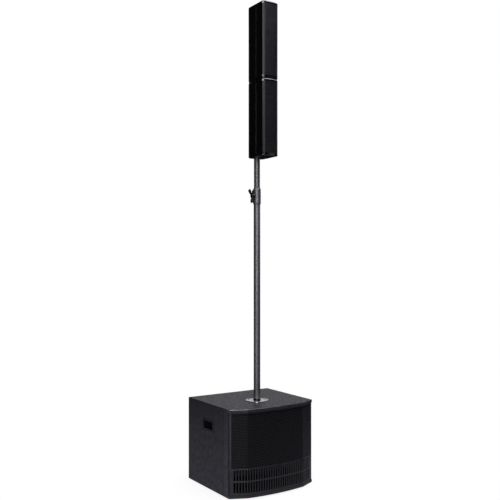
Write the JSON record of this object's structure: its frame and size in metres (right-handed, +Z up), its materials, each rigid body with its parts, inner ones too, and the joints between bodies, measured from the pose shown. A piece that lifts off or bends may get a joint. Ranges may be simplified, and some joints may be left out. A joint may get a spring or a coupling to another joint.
{
  "type": "column pa system",
  "caption": "Column PA system: slim stacked satellite speakers on a telescopic pole above a bowed-front active subwoofer with perforated and slotted grilles.",
  "frame": {"origin": "on the floor, at the centre of the subwoofer's footprint", "axes": "+Z up, the bowed grille faces -Y, +X to the right for someone facing the grille"},
  "size_m": [0.5262, 0.478, 2.528],
  "materials": {
    "cabinet_paint": "plywood with fine textured black paint",
    "inner_wood": "bare birch plywood",
    "grille_steel": "black powder-coated perforated steel",
    "grille_plastic": "black moulded plastic, fine texture",
    "foam": "open-cell black acoustic foam",
    "moulded_black": "black moulded plastic",
    "satin_black": "satin black moulded plastic",
    "gloss_black": "polished black moulded plastic",
    "black_screws": "black zinc",
    "rubber": "matt black rubber",
    "polished_steel": "polished steel plate",
    "bright_screws": "zinc plated",
    "pole_paint": "satin black powder coat on steel tube",
    "cast_frame": "black painted cast aluminium",
    "ferrite": "dark grey ferrite",
    "motor_steel": "zinc plated steel",
    "cone_paper": "pressed paper cone",
    "surround_cloth": "treated cloth",
    "spider_cloth": "impregnated cloth",
    "coil": "enamelled copper wire on a former",
    "amp_plate": "black powder-coated steel",
    "heatsink": "black anodised aluminium",
    "circuit": "glass-fibre board with parts",
    "light_lens": "clear green lens",
    "nylon": "nylon"
  },
  "bodies": {
    "subwoofer": {"cabinet_shell": "cabinet_paint", "baffle_board": "cabinet_paint", "port_shelf": "inner_wood", "slotted_grille": "grille_plastic", "perforated_grille": "grille_steel", "grille_foam": "foam", "grille_screws": "black_screws", "handle_left": "moulded_black", "handle_right": "moulded_black", "handle_screws": "black_screws", "rubber_feet": "rubber", "feet_screws": "bright_screws", "pole_flange": "polished_steel", "flange_screws": "bright_screws", "woofer_basket": "cast_frame", "woofer_screws": "black_screws", "woofer_magnet": "ferrite", "woofer_motor_steel": "motor_steel", "woofer_surround": "surround_cloth", "woofer_spider": "spider_cloth", "amp_panel": "amp_plate", "amp_screws": "black_screws", "amp_heatsink": "heatsink", "amp_circuit_board": "circuit", "line_sockets": "satin_black", "speaker_sockets": "satin_black", "indicator_lights": "light_lens", "mains_inlet": "moulded_black", "switch_frame": "moulded_black", "pole_stud": "pole_paint", "lower_pole_tube": "pole_paint", "clamp_collar": "pole_paint", "clamp_bushing": "nylon", "clamp_shoe": "nylon"},
    "woofer_moving": {"woofer_cone": "cone_paper", "woofer_voice_coil": "coil"},
    "power_rocker": {"power_switch": "satin_black"},
    "sub_level": {"sub_level_knob": "moulded_black"},
    "satellite_level": {"satellite_level_knob": "moulded_black"},
    "phase_push": {"phase_button": "satin_black"},
    "clamp_handle": {"clamp_knob": "moulded_black"},
    "upper_pole": {"upper_pole_tube": "pole_paint", "upper_tube_glide": "nylon"},
    "column": {"lower_satellite_cabinet": "satin_black", "lower_satellite_caps": "gloss_black", "lower_satellite_grille": "grille_steel", "lower_satellite_baffle": "moulded_black", "lower_satellite_drivers": "cast_frame", "upper_satellite_cabinet": "satin_black", "upper_satellite_caps": "gloss_black", "upper_satellite_grille": "grille_steel", "upper_satellite_baffle": "moulded_black", "upper_satellite_drivers": "cast_frame", "tweeters": "moulded_black", "pole_socket": "motor_steel", "stack_pins": "motor_steel", "stack_contacts": "moulded_black", "rear_speaker_socket": "satin_black"},
    "lower_cones": {"lower_satellite_cones": "cone_paper"},
    "upper_cones": {"upper_satellite_cones": "cone_paper"}
  },
  "joints": [
    {"name": "pole_height", "type": "slide", "parent": "subwoofer", "child": "upper_pole", "axis": [0, 0, 1], "range_m": [-0.15, 0.5]},
    {"name": "column_swivel", "type": "hinge", "parent": "upper_pole", "child": "column", "pos_m": [0, -0.044, 1.8], "axis": [0, 0, 1], "continuous": true},
    {"name": "clamp_turn", "type": "hinge", "parent": "subwoofer", "child": "clamp_handle", "pos_m": [-0.04, -0.044, 1.5324], "axis": [-1, 0, 0], "range_deg": [-360, 0]},
    {"name": "woofer_travel", "type": "slide", "parent": "subwoofer", "child": "woofer_moving", "axis": [0, -1, 0], "range_m": [-0.006, 0.006], "stiffness_N_per_m": 3000, "deforming": ["woofer_surround", "woofer_spider"]},
    {"name": "lower_cone_travel", "type": "slide", "parent": "column", "child": "lower_cones", "axis": [0, -1, 0], "range_m": [-0.0015, 0.0015], "stiffness_N_per_m": 2000},
    {"name": "upper_cone_travel", "type": "slide", "parent": "column", "child": "upper_cones", "axis": [0, -1, 0], "range_m": [-0.0015, 0.0015], "stiffness_N_per_m": 2000},
    {"name": "power_switch_rock", "type": "hinge", "parent": "subwoofer", "child": "power_rocker", "pos_m": [-0.103, 0.218, 0.247], "axis": [1, 0, 0], "range_deg": [0, 16]},
    {"name": "sub_level_turn", "type": "hinge", "parent": "subwoofer", "child": "sub_level", "pos_m": [-0.11, 0.22, 0.297], "axis": [0, 1, 0], "range_deg": [-150, 150]},
    {"name": "satellite_level_turn", "type": "hinge", "parent": "subwoofer", "child": "satellite_level", "pos_m": [-0.072, 0.22, 0.297], "axis": [0, 1, 0], "range_deg": [-150, 150]},
    {"name": "phase_press", "type": "slide", "parent": "subwoofer", "child": "phase_push", "axis": [0, -1, 0], "range_m": [0, 0.0025], "stiffness_N_per_m": 400}
  ],
  "couplings": [
    {"joint": "upper_cone_travel", "follows": "lower_cone_travel", "ratio": 1}
  ]
}
